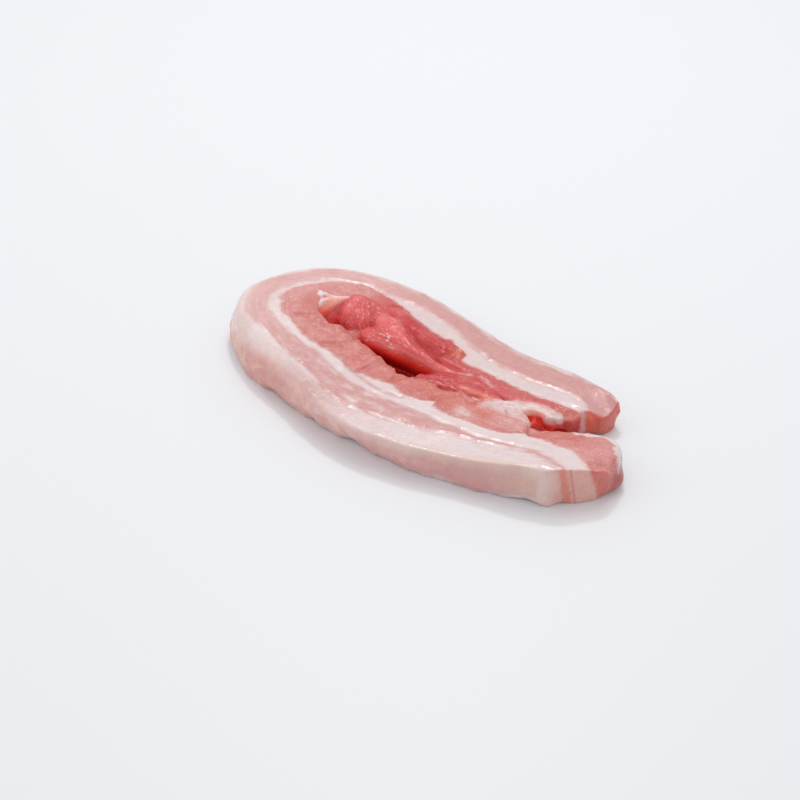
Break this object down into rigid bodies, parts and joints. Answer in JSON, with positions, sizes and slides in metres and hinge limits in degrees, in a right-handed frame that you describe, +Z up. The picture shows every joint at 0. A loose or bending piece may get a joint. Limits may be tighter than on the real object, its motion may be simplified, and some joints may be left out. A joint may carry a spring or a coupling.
{
  "type": "pork belly slice",
  "caption": "Raw pork belly slice lying flat, a rind-on strip of fat and lean bent into a hairpin around a narrow crevice with folds of lean, two cut ends side by side.",
  "frame": {"origin": "centre of the outline, on the surface the slice lies on", "axes": "+Z up out of the upper cut face; +X from the bend towards the two cut ends; the longer front leg lies at -Y"},
  "size_m": [0.1668, 0.084, 0.0172],
  "materials": {
    "meat": "moist raw lean and fat in layers, pale rind outside, wet gloss"
  },
  "bodies": {
    "root": {"slice": "meat"}
  },
  "joints": []
}
